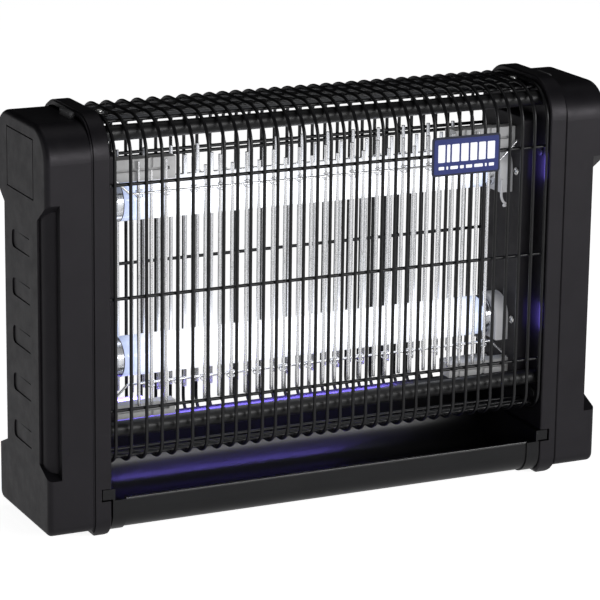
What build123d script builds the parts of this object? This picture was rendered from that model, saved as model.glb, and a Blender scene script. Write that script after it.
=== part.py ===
"""Twin-tube electric insect killer: end housings, a wire guard, killing grids, lamps and a slide-out tray.

Frame: X along the length, Y from front (-) to back (+), Z up. The origin is the middle of the footprint,
on the surface that the feet stand on. Lengths are in millimetres.
"""

import os

from build123d import *

os.makedirs("parts", exist_ok=True)

# ---------------------------------------------------------------- driving dimensions
LENGTH = 392.0
DEPTH = 90.0
HEIGHT = 270.2

# end housings: an outer cap and an inner end frame on each side
CAP_WIDTH = 30.0
FRAME_WIDTH = 12.0
CAP_BOTTOM = 6.2
CAP_TOP = 265.2
CAP_TOP_RADIUS = 22.0
CAP_BOTTOM_RADIUS = 6.0
CAP_EDGE_RADIUS = 3.5
FRAME_TOP_RADIUS = 26.0
FRAME_BOTTOM_RADIUS = 14.0
WALL = 2.4
SHADOW_GAP = 1.3
SHADOW_DEPTH = 0.9

# raised bulkhead on the window side of each end frame
BULKHEAD_X = 143.5
BULKHEAD_HALF = 27.0
BULKHEAD_SPAN = (62.5, 244.0)

# wire guard
WIRE_RADIUS = 1.1
UPRIGHT_LAST = 152.6
UPRIGHT_PITCH = 9.2
UPRIGHT_GAPS = 25
WIDE_PITCH = 10.4
WIDE_GAPS = 7
GUARD_SETBACK = 2.4
GUARD_TOP = 266.0
GUARD_BOTTOM = 47.4
GUARD_TOP_RADIUS = 24.0
GUARD_BOTTOM_RADIUS = 13.0
GUARD_CURL_END_Y = 14.0
WELD_GAP = 0.02
FRONT_CROSS_HEIGHTS = (82.7, 154.7, 226.7)
REAR_CROSS_HEIGHTS = (82.7, 154.7, 224.8, 227.6)
TOP_CROSS_Y = (-8.0, 8.0)
SHOULDER_CROSS_Y = 23.5
CURL_CROSS = ((33.2, 50.5), (25.6, 49.82), (17.6, 49.82))

# tie rails
RAIL_RADIUS = 5.0
UPPER_FRONT_RAIL = (-27.5, 256.6)
UPPER_REAR_RAIL = (27.5, 256.6)
LOWER_FRONT_RAIL = (-34.0, 68.6)
LOWER_REAR_RAIL = (10.0, 56.7)
RAIL_BORE_RADIUS = 1.6
RAIL_BORE_DEPTH = 14.0
SCREW_SHANK = 1.5
SCREW_HEAD = 3.2

# lamps: 26 mm tubes with two-pin ends in rotary holders
LAMP_RADIUS = 13.0
LAMP_HEIGHTS = {"lower": 105.2, "upper": 206.7}
LAMP_MIDDLE = -2.75
GLASS_HALF = 129.5
LAMP_HALF = 136.5
PIN_RADIUS = 1.175
PIN_OFFSET = 6.35
HOLDER_CLEARANCE = 0.3
HOLDER_BACK = 170.0
HOLDER_HALF = 15.0
HOLDER_BODY_RADIUS = 11.0
ROTOR_RADIUS = 8.0
ROTOR_FIT = 0.08

# killing grids
ROD_COUNT = 28
ROD_PITCH = 9.23
LIVE_ROD_Y = 17.8
RETURN_ROD_Y = 16.2
ROD_RADIUS = 1.2
LIVE_SPAN = (76.9, 235.2)
RETURN_SPAN = (75.0, 228.8)
LIVE_BAR_Z = 215.2
RETURN_BAR_Z = 90.2
BAR_RADIUS = 0.8
BAR_END = 131.0
ARM_DROP = 12.0
INSULATOR_INNER_X = 99.0
INSULATOR_DEPTH = 10.0
UPPER_INSULATOR = (222.2, 236.3)
LOWER_INSULATOR = (68.5, 77.7)
REAR_INSULATOR_STEP = 5.4
REAR_INSULATOR_INNER_X = 109.0
REAR_INSULATOR_DEPTH = 5.0

# collecting tray
TRAY_JOINT_X = 144.0
TRAY_END_X = 153.2
TRAY_FRONT = 44.1
TRAY_BACK = 40.0
TRAY_BOTTOM = 3.5
TRAY_LIP = 25.7
TRAY_BACK_TOP = 44.0
TRAY_FRONT_RADIUS = 14.0
TRAY_BACK_RADIUS = 26.0
TRAY_WALL = 1.8
RIB_BOTTOM = 26.4
RIB_TOP = 33.0
RIB_REACH = 159.8
RIB_BACK = 20.0
GROOVE_BOTTOM = 25.6
GROOVE_TOP = 33.8
GROOVE_REACH = 160.8
GROOVE_BACK = 24.0

# corner grips of the caps
GRIP_BOTTOM = 43.2
GRIP_TOP = 218.2
GRIP_DEPTH = 17.0
GRIP_LOWER_SLOPE = 0.44
GRIP_UPPER_SLOPE = 0.75

half_length = LENGTH / 2
seam_x = half_length - CAP_WIDTH
window_x = seam_x - FRAME_WIDTH
front_y = -DEPTH / 2
upright_y = DEPTH / 2 - GUARD_SETBACK
cross_y = upright_y - 2 * WIRE_RADIUS - WELD_GAP
top_cross_z = GUARD_TOP - 2 * WIRE_RADIUS - WELD_GAP
cross_half = window_x - 0.6
shoulder_reach = GUARD_TOP_RADIUS - 2 * WIRE_RADIUS - WELD_GAP
shoulder_rise = (shoulder_reach**2 - (SHOULDER_CROSS_Y - upright_y + GUARD_TOP_RADIUS) ** 2) ** 0.5
shoulder_cross = (SHOULDER_CROSS_Y, GUARD_TOP - GUARD_TOP_RADIUS + shoulder_rise)


def write(piece, name):
    """Labels a finished piece and writes its STEP file."""
    piece.part.label = name
    export_step(piece.part, f"parts/{name}.step")


def write_mirrored(piece, name, plane):
    """Writes the mirror image of a finished piece."""
    with BuildPart() as twin:
        mirror(piece.part, about=plane)
    write(twin, name)


def side_outline(bottom, top, bottom_radius, top_radius, inset=0.0):
    """Outline of an end housing seen from the side, as a sketch of depth by height."""
    with BuildSketch() as outline:
        with Locations((0, (bottom + top) / 2)):
            Rectangle(DEPTH - 2 * inset, top - bottom - 2 * inset)
        rows = outline.vertices().group_by(Axis.Y)
        fillet(rows[0], bottom_radius - inset)
        rows = outline.vertices().group_by(Axis.Y)
        fillet(rows[-1], top_radius - inset)
    return outline.sketch


def frame_outline(inset=0.0):
    return side_outline(0, HEIGHT, FRAME_BOTTOM_RADIUS, FRAME_TOP_RADIUS, inset)


def cap_outline(inset=0.0):
    return side_outline(CAP_BOTTOM, CAP_TOP, CAP_BOTTOM_RADIUS, CAP_TOP_RADIUS, inset)


def bulkhead_outline(inset=0.0):
    """Outline of the raised bulkhead seen from the side."""
    with BuildSketch() as outline:
        with Locations((0, sum(BULKHEAD_SPAN) / 2)):
            Rectangle(2 * (BULKHEAD_HALF - inset), BULKHEAD_SPAN[1] - BULKHEAD_SPAN[0] - 2 * inset)
        fillet(outline.vertices(), 4.0 - inset)
    return outline.sketch


# Housing screws join each end frame to four bosses in its cap, along X.
housing_screw_places = [(y, z) for y in (-33.0, 33.0) for z in (57.0, 222.0)]
rail_places = [UPPER_FRONT_RAIL, UPPER_REAR_RAIL, LOWER_FRONT_RAIL, LOWER_REAR_RAIL]
lamp_places = [(0, z) for z in LAMP_HEIGHTS.values()]


# ---------------------------------------------------------------- end frames
with BuildPart() as left_end_frame:
    with BuildSketch(Plane.YZ.offset(-seam_x)):
        add(frame_outline(SHADOW_DEPTH))
    extrude(amount=SHADOW_GAP)
    with BuildSketch(Plane.YZ.offset(-seam_x + SHADOW_GAP)):
        add(frame_outline())
    extrude(amount=FRAME_WIDTH - SHADOW_GAP)
    rim_edges = left_end_frame.faces().sort_by(Axis.X)[-1].edges()
    fillet(rim_edges, 1.2)
    # hollow from the cap side, leaving the wall that faces the lamps
    with BuildSketch(Plane.YZ.offset(-seam_x)):
        add(frame_outline(WALL + SHADOW_DEPTH))
    extrude(amount=FRAME_WIDTH - WALL, mode=Mode.SUBTRACT)
    # raised bulkhead that carries the lamp holders and the grids, hollow from the cap side
    with BuildSketch(Plane.YZ.offset(-window_x)):
        add(bulkhead_outline())
    extrude(amount=window_x - BULKHEAD_X)
    bulkhead_rim = left_end_frame.faces().sort_by(Axis.X)[-1].edges()
    fillet(bulkhead_rim, 1.2)
    with BuildSketch(Plane.YZ.offset(-seam_x)):
        add(bulkhead_outline(WALL))
    extrude(amount=seam_x - BULKHEAD_X - WALL, mode=Mode.SUBTRACT)
    # guide block for the tray rib, with the groove that opens at the front
    with BuildSketch(Plane.YZ.offset(-window_x - WALL / 2)):
        with Locations(((front_y + 2 + GROOVE_BACK + WALL) / 2, (GROOVE_BOTTOM + GROOVE_TOP) / 2)):
            Rectangle(GROOVE_BACK + WALL - front_y - 2, GROOVE_TOP - GROOVE_BOTTOM + 2 * WALL)
    extrude(amount=-(GROOVE_REACH - window_x + WALL / 2))
    with BuildSketch(Plane.YZ.offset(-GROOVE_REACH)):
        with Locations(((front_y - 1 + GROOVE_BACK) / 2, (GROOVE_BOTTOM + GROOVE_TOP) / 2)):
            Rectangle(GROOVE_BACK - front_y + 1, GROOVE_TOP - GROOVE_BOTTOM)
    extrude(amount=GROOVE_REACH - window_x + 1, mode=Mode.SUBTRACT)
    # holes for the lamp holders, the rail screws and the housing screws
    with BuildSketch(Plane.YZ.offset(-seam_x)):
        with Locations(*lamp_places):
            Circle(HOLDER_BODY_RADIUS + 0.3)
        with Locations(*rail_places, *housing_screw_places):
            Circle(SCREW_SHANK + 0.3)
    extrude(amount=seam_x - BULKHEAD_X + 1, mode=Mode.SUBTRACT)
    # slanted edges of the foot
    with BuildSketch(Plane.XZ.offset(-DEPTH)):
        with BuildLine():
            Polyline((-seam_x - 0.1, -0.1), (-seam_x + 4, -0.1), (-seam_x - 0.1, CAP_BOTTOM), close=True)
        make_face()
        with BuildLine():
            Polyline((-window_x + 0.1, -0.1), (-window_x - 4, -0.1), (-window_x + 0.1, 3.6), close=True)
        make_face()
    extrude(amount=2 * DEPTH, mode=Mode.SUBTRACT)
write(left_end_frame, "left_end_frame")
write_mirrored(left_end_frame, "right_end_frame", Plane.YZ)


# ---------------------------------------------------------------- caps
def grip_section():
    """Section of a corner grip, with the cap's sharp corner at the origin and its faces along the axes."""
    with BuildSketch() as section:
        with BuildLine():
            Polyline((2, 16), (-1, 16), (-1, -1), (9, -1), (9, 6.5))
            ThreePointArc((9, 6.5), (3.8, 9.2), (2, 16))
        make_face()
    return section.sketch


# The grip's channel keeps its section, and its ends slope inwards, as seen from the side.
with BuildPart() as grip_cutter:
    with BuildSketch(Plane(origin=(-half_length, front_y, GRIP_BOTTOM - 1))):
        add(grip_section())
    extrude(amount=GRIP_TOP - GRIP_BOTTOM + 2)
    with BuildSketch(Plane.YZ.offset(-half_length - 2)):
        with BuildLine():
            Polyline(
                (front_y - 1, GRIP_BOTTOM),
                (front_y, GRIP_BOTTOM),
                (front_y + GRIP_DEPTH, GRIP_BOTTOM + GRIP_LOWER_SLOPE * GRIP_DEPTH),
                (front_y + GRIP_DEPTH, GRIP_TOP - GRIP_UPPER_SLOPE * GRIP_DEPTH),
                (front_y, GRIP_TOP),
                (front_y - 1, GRIP_TOP),
                close=True,
            )
        make_face()
    extrude(amount=GRIP_DEPTH, mode=Mode.INTERSECT)

# Each scoop is a shallow wedge: flush at the front, deepest at its round-cornered back end. A fine line
# runs round its edge and leaves the front end open.
SCOOP_LENGTH = 33.0
SCOOP_HEIGHT = 11.5
SCOOP_DEPTH = 0.9
SCOOP_LINE = 0.7
scoop_back = 16.0
scoop_front = scoop_back - SCOOP_LENGTH
with BuildPart() as scoop_cutter:
    with BuildSketch(Plane.XY):
        with BuildLine():
            Polyline((0, scoop_back), (-1, scoop_back), (-1, scoop_front), (0, scoop_front),
                     (SCOOP_DEPTH, scoop_back), close=True)
        make_face()
    extrude(amount=SCOOP_HEIGHT)
    fillet(scoop_cutter.edges().filter_by(Axis.X).group_by(Axis.Y)[-1], 3.5)
    with BuildSketch(Plane.YZ.offset(-1)):
        with Locations(((scoop_front + scoop_back) / 2, SCOOP_HEIGHT / 2)):
            RectangleRounded(SCOOP_LENGTH, SCOOP_HEIGHT, 3.5)
            RectangleRounded(
                SCOOP_LENGTH - 2 * SCOOP_LINE, SCOOP_HEIGHT - 2 * SCOOP_LINE, 2.8, mode=Mode.SUBTRACT
            )
        with Locations((scoop_front, SCOOP_HEIGHT / 2)):
            Rectangle(7, SCOOP_HEIGHT - 2 * SCOOP_LINE, mode=Mode.SUBTRACT)
    extrude(amount=1 + SCOOP_LINE)

scoop_places = [(-half_length, 0, 180.2 - 31.0 * step) for step in range(5)]

with BuildPart() as left_cap:
    with BuildSketch(Plane.YZ.offset(-half_length)):
        add(cap_outline())
    extrude(amount=CAP_WIDTH)
    outer_edges = left_cap.faces().sort_by(Axis.X)[0].edges()
    fillet(outer_edges, CAP_EDGE_RADIUS)
    seam_edges = left_cap.faces().sort_by(Axis.X)[-1].edges()
    chamfer(seam_edges, 0.5)
    # cavity: full depth next to the frame, narrower between the corner grips
    with BuildSketch(Plane.YZ.offset(-seam_x)):
        add(cap_outline(WALL))
    extrude(amount=-(CAP_WIDTH - 13), mode=Mode.SUBTRACT)
    with BuildSketch(Plane.YZ.offset(-seam_x - 10)):
        with Locations((0, (CAP_BOTTOM + CAP_TOP) / 2)):
            Rectangle(DEPTH - 40, CAP_TOP - CAP_BOTTOM - 2 * WALL - 4)
    extrude(amount=-(CAP_WIDTH - 10 - WALL), mode=Mode.SUBTRACT)
    add(grip_cutter.part, mode=Mode.SUBTRACT)
    mirror(grip_cutter.part, about=Plane.XZ, mode=Mode.SUBTRACT)
    # fine groove round the plain panel near the top
    with BuildSketch(Plane.YZ.offset(-half_length)):
        with Locations((0, 236.7)):
            Rectangle(47.0, 38.5)
            Rectangle(45.2, 36.7, mode=Mode.SUBTRACT)
    extrude(amount=0.8, mode=Mode.SUBTRACT)
    with Locations(*scoop_places):
        add(scoop_cutter.part, mode=Mode.SUBTRACT)
    # bosses that take the housing screws
    with BuildSketch(Plane.YZ.offset(-window_x - WALL - 0.05)):
        with Locations(*housing_screw_places):
            Circle(4.0)
    extrude(amount=-(CAP_WIDTH + FRAME_WIDTH - WALL - 12))
    with BuildSketch(Plane.YZ.offset(-window_x)):
        with Locations(*housing_screw_places):
            Circle(SCREW_SHANK + 0.05)
    extrude(amount=-20, mode=Mode.SUBTRACT)
    # snap lug that hooks over the shoulder of the end frame
    with BuildSketch(Plane.XY.offset(CAP_TOP - 1)):
        with Locations((-seam_x - 1.75, -8)):
            SlotOverall(18, 3.3, rotation=90)
    extrude(amount=4.4)
    lug_rim = left_cap.edges().group_by(Axis.Z)[-1]
    fillet(lug_rim, 0.8)
write(left_cap, "left_cap")


# The right cap also has the hole for the mains cable bushing, low in its rear face.
BUSHING_PLACE = (176.0, 25.0)
BUSHING_RADIUS = 5.0
with BuildPart() as right_cap:
    mirror(left_cap.part, about=Plane.YZ)
    with BuildSketch(Plane.XZ.offset(front_y)):
        with Locations(BUSHING_PLACE):
            Circle(BUSHING_RADIUS)
    extrude(amount=WALL + 1, mode=Mode.SUBTRACT)
write(right_cap, "right_cap")

with BuildPart() as cable_bushing:
    with BuildSketch(Plane.XZ.offset(front_y + 0.1)):
        with Locations(BUSHING_PLACE):
            Circle(BUSHING_RADIUS - 0.1)
    extrude(amount=9)
    with BuildSketch(Plane.XZ.offset(front_y + WALL + 0.1)):
        with Locations(BUSHING_PLACE):
            Circle(BUSHING_RADIUS + 2)
    extrude(amount=2)
    with BuildSketch(Plane.XZ.offset(front_y)):
        with Locations(BUSHING_PLACE):
            Circle(3.3)
    extrude(amount=20, mode=Mode.SUBTRACT)
write(cable_bushing, "cable_bushing")

with BuildPart() as left_housing_screws:
    with BuildSketch(Plane.YZ.offset(-window_x)):
        with Locations(*housing_screw_places):
            Circle(SCREW_HEAD)
    extrude(amount=1.4)
    fillet(left_housing_screws.faces().group_by(Axis.X)[-1].edges(), 0.8)
    with BuildSketch(Plane.YZ.offset(-window_x)):
        with Locations(*housing_screw_places):
            Circle(SCREW_SHANK)
    extrude(amount=-17)
write(left_housing_screws, "left_housing_screws")
write_mirrored(left_housing_screws, "right_housing_screws", Plane.YZ)


# ---------------------------------------------------------------- tie rails
def rail(side, height):
    """A round bar between the end frames, with a screw bore in each end."""
    with BuildPart() as bar:
        with BuildSketch(Plane.YZ.offset(-window_x)):
            with Locations((side, height)):
                Circle(RAIL_RADIUS)
        extrude(amount=2 * window_x)
        for plane in (Plane.YZ.offset(-window_x), Plane.YZ.offset(window_x - RAIL_BORE_DEPTH)):
            with BuildSketch(plane):
                with Locations((side, height)):
                    Circle(RAIL_BORE_RADIUS)
            extrude(amount=RAIL_BORE_DEPTH, mode=Mode.SUBTRACT)
    return bar


write(rail(*UPPER_FRONT_RAIL), "upper_front_rail")
write(rail(*UPPER_REAR_RAIL), "upper_rear_rail")
write(rail(*LOWER_FRONT_RAIL), "lower_front_rail")
write(rail(*LOWER_REAR_RAIL), "lower_rear_rail")

with BuildPart() as left_rail_screws:
    with BuildSketch(Plane.YZ.offset(-window_x - WALL)):
        with Locations(*rail_places):
            Circle(SCREW_HEAD)
    extrude(amount=-1.8)
    with BuildSketch(Plane.YZ.offset(-window_x - WALL)):
        with Locations(*rail_places):
            Circle(SCREW_SHANK)
    extrude(amount=WALL + RAIL_BORE_DEPTH - 2)
write(left_rail_screws, "left_rail_screws")
write_mirrored(left_rail_screws, "right_rail_screws", Plane.YZ)


# ---------------------------------------------------------------- wire guard
# The uprights stand at an even pitch from the right, and at a wider one over the leftmost gaps.
first_narrow_x = UPRIGHT_LAST - UPRIGHT_GAPS * UPRIGHT_PITCH
upright_xs = [UPRIGHT_LAST - step * UPRIGHT_PITCH for step in range(UPRIGHT_GAPS + 1)]
upright_xs += [first_narrow_x - step * WIDE_PITCH for step in range(1, WIDE_GAPS + 1)]
curl_start_y = -upright_y + GUARD_BOTTOM_RADIUS
curl_end_z = GUARD_BOTTOM + GUARD_BOTTOM_RADIUS
shoulder_start_z = GUARD_TOP - GUARD_TOP_RADIUS
shoulder_end_y = -upright_y + GUARD_TOP_RADIUS

# Each upright is a straight run, a shoulder bend at the top and a tighter curl at the bottom.
with BuildPart() as front_guard_uprights:
    with BuildSketch(Plane.XY.offset(curl_end_z + WELD_GAP)):
        with Locations(*[(x, -upright_y) for x in upright_xs]):
            Circle(WIRE_RADIUS)
    extrude(amount=shoulder_start_z - curl_end_z - 2 * WELD_GAP)
    with BuildSketch(Plane.XY.offset(shoulder_start_z)):
        with Locations(*[(x, -upright_y) for x in upright_xs]):
            Circle(WIRE_RADIUS)
    revolve(axis=Axis((0, shoulder_end_y, shoulder_start_z), (-1, 0, 0)), revolution_arc=90)
    with BuildSketch(Plane.XY.offset(curl_end_z)):
        with Locations(*[(x, -upright_y) for x in upright_xs]):
            Circle(WIRE_RADIUS)
    revolve(axis=Axis((0, curl_start_y, curl_end_z), (1, 0, 0)), revolution_arc=90)
    with BuildSketch(Plane.XZ.offset(-curl_start_y - WELD_GAP)):
        with Locations(*[(x, GUARD_BOTTOM) for x in upright_xs]):
            Circle(WIRE_RADIUS)
    extrude(amount=curl_start_y + GUARD_CURL_END_Y + WELD_GAP)
write(front_guard_uprights, "front_guard_uprights")
write_mirrored(front_guard_uprights, "rear_guard_uprights", Plane.XZ)

with BuildPart() as top_guard_uprights:
    with BuildSketch(Plane.XZ.offset(shoulder_end_y + WELD_GAP)):
        with Locations(*[(x, GUARD_TOP) for x in upright_xs]):
            Circle(WIRE_RADIUS)
    extrude(amount=-2 * (shoulder_end_y + WELD_GAP))
write(top_guard_uprights, "top_guard_uprights")


def crosswires(side, heights):
    """The cross wires of one face, of its curl and of its shoulder, inside the uprights."""
    with BuildPart() as wires:
        with BuildSketch(Plane.YZ.offset(-cross_half)):
            with Locations(*[(side * cross_y, z) for z in heights]):
                Circle(WIRE_RADIUS)
            with Locations(*[(side * y, z) for y, z in (*CURL_CROSS, shoulder_cross)]):
                Circle(WIRE_RADIUS)
        extrude(amount=2 * cross_half)
    return wires


write(crosswires(-1, FRONT_CROSS_HEIGHTS), "front_guard_crosswires")
write(crosswires(1, REAR_CROSS_HEIGHTS), "rear_guard_crosswires")

with BuildPart() as top_guard_crosswires:
    with BuildSketch(Plane.YZ.offset(-cross_half)):
        with Locations(*[(y, top_cross_z) for y in TOP_CROSS_Y]):
            Circle(WIRE_RADIUS)
    extrude(amount=2 * cross_half)
write(top_guard_crosswires, "top_guard_crosswires")


# ---------------------------------------------------------------- guard brackets
BRACKET_SHEET = 1.6
BRACKET_TOP = 261.4
BRACKET_BOTTOM = 250.2
BRACKET_HALF = 15.0
GUARD_SCREW_XS = (-145.0, 148.0)
GUARD_SCREW_Y = -3.0
BOSS_TOP = 264.8
guard_screw_places = [(x, GUARD_SCREW_Y) for x in GUARD_SCREW_XS]


def guard_bracket(side, screw_x):
    """A sheet angle on the end frame, with a boss that takes the guard's screw."""
    wall = side * window_x
    inner = side * (window_x - BRACKET_SHEET)
    reach = screw_x - side * 4
    with BuildPart() as bracket:
        with BuildSketch(Plane.XZ.offset(-BRACKET_HALF)):
            with BuildLine():
                Polyline(
                    (wall, BRACKET_BOTTOM),
                    (inner, BRACKET_BOTTOM),
                    (inner, BRACKET_TOP - BRACKET_SHEET),
                    (reach, BRACKET_TOP - BRACKET_SHEET),
                    (reach, BRACKET_TOP),
                    (wall, BRACKET_TOP),
                    close=True,
                )
            make_face()
        extrude(amount=2 * BRACKET_HALF)
        with BuildSketch(Plane.XY.offset(BRACKET_TOP)):
            with Locations((screw_x, GUARD_SCREW_Y)):
                Circle(2.5)
        extrude(amount=BOSS_TOP - BRACKET_TOP)
        with BuildSketch(Plane.XY.offset(BOSS_TOP)):
            with Locations((screw_x, GUARD_SCREW_Y)):
                Circle(SCREW_SHANK + 0.05)
        extrude(amount=-10, mode=Mode.SUBTRACT)
    return bracket


write(guard_bracket(-1, GUARD_SCREW_XS[0]), "left_guard_bracket")
write(guard_bracket(1, GUARD_SCREW_XS[1]), "right_guard_bracket")

with BuildPart() as guard_screws:
    with BuildSketch(Plane.XY.offset(BOSS_TOP + 0.05)):
        with Locations(*guard_screw_places):
            Circle(3.3)
    extrude(amount=2.3)
    fillet(guard_screws.faces().group_by(Axis.Z)[-1].edges(), 1.2)
    with BuildSketch(Plane.XY.offset(BOSS_TOP + 0.05)):
        with Locations(*guard_screw_places):
            Circle(SCREW_SHANK)
    extrude(amount=-8)
write(guard_screws, "guard_screws")


# ---------------------------------------------------------------- grid insulators
rod_places = [ROD_PITCH * (step - (ROD_COUNT - 1) / 2) for step in range(ROD_COUNT)]
live_rods = rod_places[0::2]
return_rods = rod_places[1::2]
insulator_face = LIVE_ROD_Y - ROD_RADIUS - WELD_GAP


def insulator(side, bottom, top, inner_x, depth):
    """A block on the bulkhead behind the front grid: live rods lie on it, return rods in its notches."""
    with BuildPart() as block:
        with BuildSketch(Plane.XY.offset(bottom)):
            with Locations((side * (inner_x + BULKHEAD_X) / 2, -insulator_face + depth / 2)):
                Rectangle(BULKHEAD_X - inner_x, depth)
            with Locations(*[(x, -RETURN_ROD_Y) for x in return_rods]):
                Circle(ROD_RADIUS + WELD_GAP, mode=Mode.SUBTRACT)
        extrude(amount=top - bottom)
        back_edges = block.edges().filter_by(Axis.X).group_by(Axis.Y)[-1]
        chamfer(back_edges, 1.5)
        # a slot along the face thins the moulding
        with BuildSketch(Plane.XZ.offset(insulator_face)):
            with Locations((side * (inner_x + BULKHEAD_X) / 2, (bottom + top) / 2)):
                Rectangle(BULKHEAD_X - inner_x - 8, 2.0)
        extrude(amount=-3.0, mode=Mode.SUBTRACT)
    return block


for level, (block_bottom, block_top) in {"upper": UPPER_INSULATOR, "lower": LOWER_INSULATOR}.items():
    for side_name, side in (("left", -1), ("right", 1)):
        front_block = insulator(side, block_bottom, block_top, INSULATOR_INNER_X, INSULATOR_DEPTH)
        rear_bottom = block_bottom - REAR_INSULATOR_STEP
        rear_top = block_top - REAR_INSULATOR_STEP
        rear_block = insulator(side, rear_bottom, rear_top, REAR_INSULATOR_INNER_X, REAR_INSULATOR_DEPTH)
        write(front_block, f"front_{level}_{side_name}_insulator")
        write_mirrored(rear_block, f"rear_{level}_{side_name}_insulator", Plane.XZ)


# ---------------------------------------------------------------- killing grids
def comb(rods, rod_y, span, bar_y, bar_height, rise):
    """One polarity of the front grid: its rods, the wire that joins them, and two arms to the bulkheads."""
    with BuildPart() as grid:
        with BuildSketch(Plane.XY.offset(span[0])):
            with Locations(*[(x, rod_y) for x in rods]):
                Circle(ROD_RADIUS)
        extrude(amount=span[1] - span[0])
        for side in (-1, 1):
            with BuildLine() as route:
                Polyline(
                    (0, bar_y, bar_height),
                    (side * BAR_END, bar_y, bar_height),
                    (side * (BULKHEAD_X - WELD_GAP), bar_y, bar_height + rise),
                )
            with BuildSketch(Plane.YZ):
                with Locations((bar_y, bar_height)):
                    Circle(BAR_RADIUS)
            sweep(path=route.line, transition=Transition.RIGHT)
        trim_x = BULKHEAD_X - WELD_GAP
        split(bisect_by=Plane.YZ.offset(trim_x), keep=Keep.BOTTOM)
        split(bisect_by=Plane.YZ.offset(-trim_x), keep=Keep.TOP)
    return grid


wire_offset = ROD_RADIUS + BAR_RADIUS + WELD_GAP
front_live_grid = comb(live_rods, -LIVE_ROD_Y, LIVE_SPAN, -LIVE_ROD_Y - wire_offset, LIVE_BAR_Z, ARM_DROP)
front_return_grid = comb(
    return_rods, -RETURN_ROD_Y, RETURN_SPAN, -RETURN_ROD_Y + wire_offset, RETURN_BAR_Z, -ARM_DROP
)
write(front_live_grid, "front_live_grid")
write(front_return_grid, "front_return_grid")
write_mirrored(front_live_grid, "rear_live_grid", Plane.XZ)
write_mirrored(front_return_grid, "rear_return_grid", Plane.XZ)


# ---------------------------------------------------------------- lamps
def glass_end(side):
    """Where the glass meets the metal end cup."""
    return LAMP_MIDDLE + side * GLASS_HALF


def lamp_end(side):
    """Outer face of the metal end cup."""
    return LAMP_MIDDLE + side * LAMP_HALF


def lamp_glass(height):
    """The glass tube, hollow, between its two metal ends."""
    with BuildPart() as glass:
        with BuildSketch(Plane.YZ.offset(glass_end(-1))):
            with Locations((0, height)):
                Circle(LAMP_RADIUS)
                Circle(LAMP_RADIUS - 0.8, mode=Mode.SUBTRACT)
        extrude(amount=2 * GLASS_HALF)
    return glass


def lamp_ends(height):
    """Both metal end cups, each with two holes for its pins."""
    cup_length = LAMP_HALF - GLASS_HALF
    with BuildPart() as cups:
        for side in (-1, 1):
            with BuildSketch(Plane.YZ.offset(glass_end(side))):
                with Locations((0, height)):
                    Circle(LAMP_RADIUS)
            extrude(amount=side * cup_length)
        fillet(cups.edges().group_by(Axis.X)[0] + cups.edges().group_by(Axis.X)[-1], 1.5)
        for side in (-1, 1):
            with BuildSketch(Plane.YZ.offset(glass_end(side))):
                with Locations((0, height)):
                    Circle(LAMP_RADIUS - 1.0)
            extrude(amount=side * (cup_length - 3), mode=Mode.SUBTRACT)
            with BuildSketch(Plane.YZ.offset(glass_end(side))):
                with Locations((0, height - PIN_OFFSET), (0, height + PIN_OFFSET)):
                    Circle(PIN_RADIUS + 0.02)
            extrude(amount=side * (cup_length + 1), mode=Mode.SUBTRACT)
    return cups


def lamp_pins(height):
    """The four contact pins of one lamp."""
    with BuildPart() as pins:
        for side in (-1, 1):
            with BuildSketch(Plane.YZ.offset(lamp_end(side) - side * 2.5)):
                with Locations((0, height - PIN_OFFSET), (0, height + PIN_OFFSET)):
                    Circle(PIN_RADIUS)
            extrude(amount=side * 9.5)
    return pins


def lamp_rotors(height):
    """The turning discs of both holders: they carry the pins round when the lamp is twisted."""
    with BuildPart() as rotors:
        for side in (-1, 1):
            with BuildSketch(Plane.YZ.offset(lamp_end(side) + side * 2 * HOLDER_CLEARANCE)):
                with Locations((0, height)):
                    Circle(ROTOR_RADIUS)
                with Locations((0, height - PIN_OFFSET), (0, height + PIN_OFFSET)):
                    Circle(PIN_RADIUS + 0.02, mode=Mode.SUBTRACT)
            extrude(amount=side * 6.9)
    return rotors


def lamp_holder(side, height):
    """A two-pin holder: an arched block against the bulkhead and a round body behind it."""
    face = lamp_end(side) + side * HOLDER_CLEARANCE
    with BuildPart() as holder:
        with BuildSketch(Plane.YZ.offset(face)):
            with Locations((0, height)):
                Circle(HOLDER_HALF)
            with Locations((0, height - HOLDER_HALF / 2)):
                Rectangle(2 * HOLDER_HALF, HOLDER_HALF)
        extrude(amount=side * BULKHEAD_X - face)
        fillet(holder.faces().sort_by(Axis.X)[0 if side > 0 else -1].edges(), 0.8)
        with BuildSketch(Plane.YZ.offset(side * BULKHEAD_X)):
            with Locations((0, height)):
                Circle(HOLDER_BODY_RADIUS)
        extrude(amount=side * (HOLDER_BACK - BULKHEAD_X))
        with BuildSketch(Plane.YZ.offset(face)):
            with Locations((0, height)):
                Circle(ROTOR_RADIUS + ROTOR_FIT)
        extrude(amount=side * 7.6, mode=Mode.SUBTRACT)
    return holder


for level, lamp_z in LAMP_HEIGHTS.items():
    write(lamp_glass(lamp_z), f"{level}_lamp_glass")
    write(lamp_ends(lamp_z), f"{level}_lamp_ends")
    write(lamp_pins(lamp_z), f"{level}_lamp_pins")
    write(lamp_rotors(lamp_z), f"{level}_lamp_rotors")
    write(lamp_holder(-1, lamp_z), f"{level}_left_lamp_holder")
    write(lamp_holder(1, lamp_z), f"{level}_right_lamp_holder")


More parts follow.
